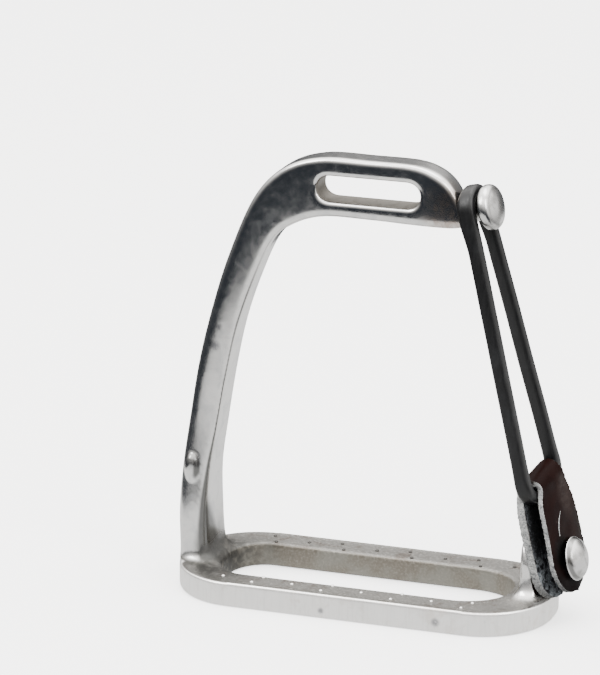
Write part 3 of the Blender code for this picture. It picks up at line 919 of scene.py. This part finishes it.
class NodeTree:
    """Short calls for the nodes used here, in a material's tree or the world's."""

    def __init__(self, tree):
        self.nodes = tree.nodes
        self.links = tree.links

    def feed(self, socket, value):
        if isinstance(value, bpy.types.NodeSocket):
            self.links.new(value, socket)
        else:
            socket.default_value = value

    def feed_colour(self, socket, value):
        self.feed(socket, value if isinstance(value, bpy.types.NodeSocket) else (*value, 1.0))

    def ranged(self, value, low, high, to_low=0.0, to_high=1.0):
        """The value's range from low to high, turned smoothly into another range."""
        node = self.nodes.new("ShaderNodeMapRange")
        node.interpolation_type = "SMOOTHSTEP"
        ends = (("From Min", low), ("From Max", high), ("To Min", to_low), ("To Max", to_high))
        for name, number in ends:
            node.inputs[name].default_value = number
        self.links.new(value, node.inputs["Value"])
        return node.outputs["Result"]

    def math(self, operation, first, second):
        node = self.nodes.new("ShaderNodeMath")
        node.operation = operation
        self.feed(node.inputs[0], first)
        self.feed(node.inputs[1], second)
        return node.outputs["Value"]

    def mix(self, factor, first, second):
        """Blend of two numbers."""
        node = self.nodes.new("ShaderNodeMix")
        for socket, value in ((0, factor), (2, first), (3, second)):
            self.feed(node.inputs[socket], value)
        return node.outputs[0]

    def blend(self, factor, first, second):
        """Blend of two colours."""
        node = self.nodes.new("ShaderNodeMix")
        node.data_type = "RGBA"
        self.feed(node.inputs[0], factor)
        self.feed_colour(node.inputs[6], first)
        self.feed_colour(node.inputs[7], second)
        return node.outputs[2]


class Shader(NodeTree):
    """A material on object coordinates in millimetres."""

    def __init__(self, name, metallic=0.0, roughness=0.5, specular=0.5):
        self.material = bpy.data.materials.new(name)
        self.material.use_nodes = True
        super().__init__(self.material.node_tree)
        self.surface = self.nodes["Principled BSDF"]
        self.set("Metallic", metallic)
        self.set("Roughness", roughness)
        self.set("Specular IOR Level", specular)
        coordinates = self.nodes.new("ShaderNodeTexCoord")
        self.place = self.stretched(coordinates.outputs["Object"], (1 / MM, 1 / MM, 1 / MM))

    def set(self, name, value):
        self.feed(self.surface.inputs[name], value)

    def stretched(self, place, scale):
        node = self.nodes.new("ShaderNodeVectorMath")
        node.operation = "MULTIPLY"
        node.inputs[1].default_value = scale
        self.links.new(place, node.inputs[0])
        return node.outputs["Vector"]

    def noise(self, size, detail=3.0, stretch=(1, 1, 1), distortion=0.0):
        """Noise with features about size millimetres across."""
        node = self.nodes.new("ShaderNodeTexNoise")
        node.inputs["Scale"].default_value = 1.0 / size
        node.inputs["Detail"].default_value = detail
        node.inputs["Roughness"].default_value = 0.55
        node.inputs["Distortion"].default_value = distortion
        self.links.new(self.stretched(self.place, stretch), node.inputs["Vector"])
        return node.outputs["Fac"]

    def cells(self, size):
        node = self.nodes.new("ShaderNodeTexVoronoi")
        node.feature = "F1"
        node.inputs["Scale"].default_value = 1.0 / size
        self.links.new(self.place, node.inputs["Vector"])
        return node.outputs["Distance"]

    def attribute(self, name):
        node = self.nodes.new("ShaderNodeAttribute")
        node.attribute_name = name
        return node.outputs["Fac"]

    def patched(self, colour, *patches):
        """The colour, with patches (pattern, low, high, strength, colour) laid over it in turn."""
        for pattern, low, high, strength, patch in patches:
            colour = self.blend(self.ranged(pattern, low, high, 0.0, strength), colour, patch)
        return colour

    def broken_up(self, mask, pattern, low, high, to_low, to_high):
        """The named mask, broken up by the pattern."""
        return self.math("MULTIPLY", self.attribute(mask), self.ranged(pattern, low, high, to_low, to_high))

    def bump(self, height, distance, strength=1.0, below=None):
        """Relief of the given depth in millimetres."""
        node = self.nodes.new("ShaderNodeBump")
        node.inputs["Distance"].default_value = distance * MM
        self.feed(node.inputs["Strength"], strength)
        self.links.new(height, node.inputs["Height"])
        if below is not None:
            self.links.new(below, node.inputs["Normal"])
        return node.outputs["Normal"]


def steel_colour(shader, wall, rough, clouds, blotches, stains, grit):
    """Polished, ground, cast and slot-wall colours, each with its own stains, with dirt and painted shade
    at the foot and painted shade on the leg.
    """
    streaks = shader.noise(1.1, 4.0, stretch=(1, 1, 0.08))
    broad = shader.noise(12.0, 4.0, distortion=0.3)
    polished = shader.patched((0.70, 0.69, 0.675), (clouds, 0.42, 0.72, 1.0, (0.60, 0.60, 0.60)))
    brown = shader.broken_up("brown_end", blotches, 0.3, 0.62, 0.35, 1.0)
    polished = shader.blend(brown, polished, (0.44, 0.38, 0.34))
    ground = shader.patched(
        (0.93, 0.915, 0.89),
        (stains, 0.50, 0.74, 1.0, (0.80, 0.755, 0.71)),
        (streaks, 0.42, 0.72, 0.18, (0.52, 0.51, 0.50)),
        (clouds, 0.5, 0.75, 0.4, (0.74, 0.72, 0.69)))
    casting = shader.patched(
        (0.165, 0.160, 0.149),
        (stains, 0.50, 0.74, 1.0, (0.105, 0.090, 0.077)),
        (grit, 0.45, 0.72, 0.5, (0.34, 0.33, 0.315)),
        (blotches, 0.56, 0.72, 0.45, (0.13, 0.115, 0.10)))
    hole_wall = shader.patched(
        (0.255, 0.245, 0.215),
        (broad, 0.36, 0.64, 1.0, (0.205, 0.184, 0.153)),
        (grit, 0.42, 0.72, 0.6, (0.35, 0.335, 0.295)),
        (blotches, 0.56, 0.72, 0.4, (0.15, 0.14, 0.12)))
    casting = shader.blend(shader.attribute("hole_wall"), casting, hole_wall)
    # dirt and painted shade in the corner where the leg's foot meets the tread
    dirt_and_shade = shader.broken_up("foot_dirt_and_shade", blotches, 0.3, 0.6, 0.5, 0.98)
    casting = shader.blend(dirt_and_shade, casting, (0.055, 0.054, 0.050))
    slot_wall = shader.patched((0.215, 0.20, 0.178), (stains, 0.50, 0.74, 1.0, (0.15, 0.135, 0.115)))
    painted_leg_shade = shader.math("MULTIPLY", shader.attribute("painted_leg_shade"), 0.9)
    smudge = shader.broken_up("smudge", grit, 0.25, 0.5, 0.3, 0.85)
    colour = shader.blend(wall, polished, ground)
    colour = shader.blend(rough, colour, casting)
    colour = shader.blend(shader.attribute("slot_wall"), colour, slot_wall)
    # painted shade on the leg's inner front edge, above the foot and round the boss
    colour = shader.blend(painted_leg_shade, colour, (0.085, 0.085, 0.082))
    return shader.blend(smudge, colour, (0.20, 0.20, 0.215))


def steel_material():
    shader = Shader("ground_and_polished_steel", metallic=1.0)
    wall = shader.attribute("ground_wall")
    rough = shader.attribute("rough_cast")
    clouds = shader.noise(7.0, 4.0, distortion=0.8)
    blotches = shader.noise(3.2, 5.0, distortion=0.6)
    stains = shader.noise(6.0, 5.0, distortion=0.8)
    grit = shader.noise(0.9, 4.0)
    shader.set("Base Color", steel_colour(shader, wall, rough, clouds, blotches, stains, grit))

    matte = shader.ranged(clouds, 0.3, 0.7, 0.17, 0.24)
    clear = shader.ranged(blotches, 0.35, 0.7, 0.13, 0.19)
    gloss = shader.mix(shader.attribute("mirror"), matte, clear)
    gloss = shader.mix(wall, gloss, shader.ranged(stains, 0.3, 0.7, 0.30, 0.38))
    gloss = shader.mix(rough, gloss, shader.ranged(grit, 0.3, 0.7, 0.42, 0.6))
    shader.set("Roughness", shader.mix(shader.attribute("slot_wall"), gloss, 0.5))

    waves = shader.noise(1.9, 1.0, stretch=(0.22, 0.22, 1.0), distortion=0.2)
    brushing = shader.noise(0.35, 2.0, stretch=(1, 1, 0.06))
    pits = shader.ranged(shader.cells(2.6), 0.12, 0.3)
    relief = shader.bump(shader.noise(10.0, 2.0), 0.10, 0.08)
    for pattern, depth, zone, strength in (
            (waves, 0.06, shader.attribute("ripples"), 0.16), (brushing, 0.02, wall, 0.35),
            (grit, 0.16, rough, 0.6), (pits, 0.10, rough, 0.4)):
        relief = shader.bump(pattern, depth, shader.math("MULTIPLY", zone, strength), relief)
    shader.set("Normal", relief)
    return shader.material


def pip_material():
    shader = Shader("cast_pips", metallic=1.0, roughness=0.3)
    grit = shader.noise(0.5, 3.0)
    bright = shader.blend(grit, (0.75, 0.74, 0.72), (0.6, 0.59, 0.57))
    # painted shade darkens the pips of the back rail
    shader.set("Base Color", shader.blend(shader.attribute("back_rail_shade"), bright, (0.05, 0.048, 0.045)))
    shader.set("Normal", shader.bump(grit, 0.05, 0.4))
    return shader.material


def turned_material():
    shader = Shader("turned_steel", metallic=1.0)
    clouds = shader.noise(4.0, 4.0)
    colour = shader.patched((0.60, 0.595, 0.585), (clouds, 0.42, 0.70, 1.0, (0.34, 0.335, 0.325)))
    # painted shade: a dark ring round the dome of each head
    shader.set("Base Color", shader.blend(shader.attribute("painted_ring_shade"), colour, (0.09, 0.088, 0.084)))
    shader.set("Roughness", shader.ranged(clouds, 0.3, 0.75, 0.20, 0.30))
    shader.set("Normal", shader.bump(shader.noise(0.25, 3.0), 0.01, 0.5))
    return shader.material


def rubber_material():
    shader = Shader("black_rubber", specular=0.32)
    streaks = shader.noise(1.1, 3.0, stretch=(1, 1, 0.12))
    dust = shader.noise(0.3, 3.0)
    bloom = shader.noise(7.0, 4.0)
    shader.set("Base Color", shader.patched(
        (0.006, 0.006, 0.0065),
        (bloom, 0.45, 0.8, 1.0, (0.013, 0.0135, 0.0145)),
        (dust, 0.68, 0.8, 0.6, (0.04, 0.04, 0.04))))
    shader.set("Roughness", shader.ranged(streaks, 0.3, 0.7, 0.28, 0.42))
    shader.set("Normal", shader.bump(dust, 0.02, 0.4, shader.bump(streaks, 0.05, 0.35)))
    return shader.material


def grain_material():
    shader = Shader("leather_grain", specular=0.02)
    patches = shader.noise(9.0, 4.0, distortion=0.5)
    creases = shader.noise(1.3, 4.0, stretch=(1, 0.35, 1), distortion=0.6)
    pores = shader.ranged(shader.cells(0.55), 0.05, 0.4)
    colour = shader.patched(
        (0.0052, 0.0015, 0.0012),
        (patches, 0.35, 0.7, 1.0, (0.0085, 0.0032, 0.0026)),
        (creases, 0.66, 0.82, 0.35, (0.09, 0.07, 0.06)))
    # painted shadow beside the stud, and darker towards the bottom of the outer layer
    colour = shader.blend(shader.attribute("dark"), colour, (0.0008, 0.0006, 0.0005))
    # painted sheen: a lighter patch on the outer layer, broken up by the creases
    broken_up = shader.broken_up("painted_sheen", creases, 0.3, 0.6, 0.3, 0.75)
    shader.set("Base Color", shader.blend(broken_up, colour, (0.026, 0.018, 0.016)))
    shader.set("Roughness", shader.ranged(patches, 0.3, 0.7, 0.34, 0.46))
    shader.set("Normal", shader.bump(creases, 0.12, 0.35, shader.bump(pores, 0.04, 0.45)))
    return shader.material


def flesh_material():
    shader = Shader("leather_flesh", roughness=0.85, specular=0.1)
    nap = shader.noise(0.5, 5.0)
    blots = shader.noise(2.4, 5.0, distortion=0.7)
    colour = shader.patched(
        (0.10, 0.115, 0.13),
        (nap, 0.35, 0.7, 1.0, (0.36, 0.385, 0.40)),
        (blots, 0.44, 0.60, 1.0, (0.012, 0.012, 0.014)))
    shader.set("Base Color", shader.blend(shader.attribute("shade"), colour, (0.008, 0.008, 0.009)))
    shader.set("Normal", shader.bump(nap, 0.25, 0.8))
    return shader.material


def raw_edge_material():
    shader = Shader("leather_raw_edge", roughness=0.9, specular=0.1)
    fibres = shader.noise(0.45, 5.0)
    blots = shader.noise(2.0, 4.0)
    colour = shader.patched(
        (0.17, 0.175, 0.18),
        (fibres, 0.3, 0.7, 1.0, (0.50, 0.505, 0.495)),
        (blots, 0.52, 0.68, 0.8, (0.08, 0.085, 0.09)))
    shader.set("Base Color", shader.blend(shader.attribute("shade"), colour, (0.03, 0.025, 0.022)))
    shader.set("Normal", shader.bump(fibres, 0.3, 0.9))
    return shader.material


# ---- studio

def add_sheet(name, outline, height):
    bm = bmesh.new()
    bm.faces.new([bm.verts.new((x, y, height)) for x, y in outline])
    return add_object(name, bm, Matrix.Identity(4))


def build_floor():
    side = FLOOR_HALF
    floor = add_sheet("floor", ((-side, -side), (side, -side), (side, side), (-side, side)), 0.0)
    shader = Shader("pale_floor", roughness=0.95, specular=0.0)
    shader.set("Base Color", (0.9, 0.9, 0.9, 1.0))
    shader.set("Emission Color", (1.0, 1.0, 1.0, 1.0))
    shader.set("Emission Strength", FLOOR_GLOW)
    floor.data.materials.append(shader.material)
    floor.visible_glossy = False
    floor.visible_diffuse = False


def build_table_glow():
    """The lit table that the steel mirrors; only reflections see it."""
    table = add_sheet("table_glow", TABLE_OUTLINE, TABLE_HEIGHT)
    material = bpy.data.materials.new("table_glow")
    material.use_nodes = True
    nodes = material.node_tree.nodes
    nodes.clear()
    glow = nodes.new("ShaderNodeEmission")
    glow.inputs["Color"].default_value = (0.96, 0.96, 0.95, 1.0)
    glow.inputs["Strength"].default_value = TABLE_GLOW
    output = nodes.new("ShaderNodeOutputMaterial")
    material.node_tree.links.new(glow.outputs["Emission"], output.inputs["Surface"])
    table.data.materials.append(material)
    table.visible_camera = False
    table.visible_diffuse = False
    table.visible_shadow = False
    table.visible_transmission = False


def build_world():
    """Studio: bright above, behind and at the right, dark in front and low, plain pale for the camera."""
    world = bpy.data.worlds.new("studio")
    bpy.context.scene.world = world
    world.use_nodes = True
    tree = NodeTree(world.node_tree)
    tree.nodes.clear()
    coordinates = tree.nodes.new("ShaderNodeTexCoord")
    direction = tree.nodes.new("ShaderNodeSeparateXYZ")
    tree.links.new(coordinates.outputs["Generated"], direction.inputs[0])
    right, depth, height = direction.outputs

    above = tree.ranged(height, 0.30, 0.75, 0.0, 3.0)
    front = tree.math("MULTIPLY", tree.ranged(height, -0.16, 0.60, 0.0, 1.5),
                      tree.ranged(depth, 0.50, 0.95, 1.0, 0.0))
    aside = tree.math("ADD", right, tree.math("MULTIPLY", depth, 0.25))
    panel = tree.math("MULTIPLY", tree.ranged(aside, 0.70, 0.86, 0.0, 1.3),
                      tree.ranged(height, -0.30, -0.05, 0.2, 1.0))
    behind = tree.math("MULTIPLY", tree.ranged(height, -0.15, 0.40, 0.08, 0.33),
                       tree.ranged(depth, -0.10, 0.35, 0.0, 1.0))
    light = tree.math("ADD", tree.math("ADD", above, front), tree.math("ADD", behind, panel))
    tint = tree.blend(light, (0.036, 0.042, 0.052), (1.0, 0.985, 0.965))
    strong = tree.nodes.new("ShaderNodeVectorMath")
    strong.operation = "SCALE"
    tree.links.new(tint, strong.inputs[0])
    tree.links.new(tree.math("MAXIMUM", light, 1.0), strong.inputs["Scale"])
    ray = tree.nodes.new("ShaderNodeLightPath")
    seen = tree.blend(ray.outputs["Is Camera Ray"], strong.outputs[0], (BACKDROP, BACKDROP, BACKDROP))
    background = tree.nodes.new("ShaderNodeBackground")
    background.inputs["Strength"].default_value = 1.0
    tree.links.new(seen, background.inputs["Color"])
    output = tree.nodes.new("ShaderNodeOutputWorld")
    tree.links.new(background.outputs[0], output.inputs["Surface"])


def build_lights():
    for name, place, size, power in SOFTBOXES:
        light = bpy.data.lights.new(name, "AREA")
        light.shape = "RECTANGLE"
        light.size, light.size_y = size
        light.energy = power
        item = bpy.data.objects.new(name, light)
        bpy.context.scene.collection.objects.link(item)
        item.location = place
        item.rotation_euler = (Vector(AIM) - Vector(place)).to_track_quat("-Z", "Y").to_euler()


def build_camera():
    azimuth = math.radians(CAMERA_AZIMUTH)
    elevation = math.radians(CAMERA_ELEVATION)
    target = Vector((TREAD_X * MM, 0.0, CAMERA_TARGET_HEIGHT))
    away = Vector((math.sin(azimuth) * math.cos(elevation),
                   -math.cos(azimuth) * math.cos(elevation), math.sin(elevation)))
    data = bpy.data.cameras.new("camera")
    data.sensor_fit = "HORIZONTAL"
    data.sensor_width = 36.0
    data.lens = CAMERA_LENS
    data.shift_x, data.shift_y = CAMERA_SHIFT
    data.clip_start = 0.05
    data.clip_end = 30.0
    item = bpy.data.objects.new("camera", data)
    bpy.context.scene.collection.objects.link(item)
    item.location = target + away * CAMERA_DISTANCE
    item.rotation_euler = (-away).to_track_quat("-Z", "Y").to_euler()
    bpy.context.scene.camera = item


build_frame()
build_knob_and_stud()
build_ring()
build_tab()
build_floor()
build_table_glow()
build_world()
build_lights()
build_camera()
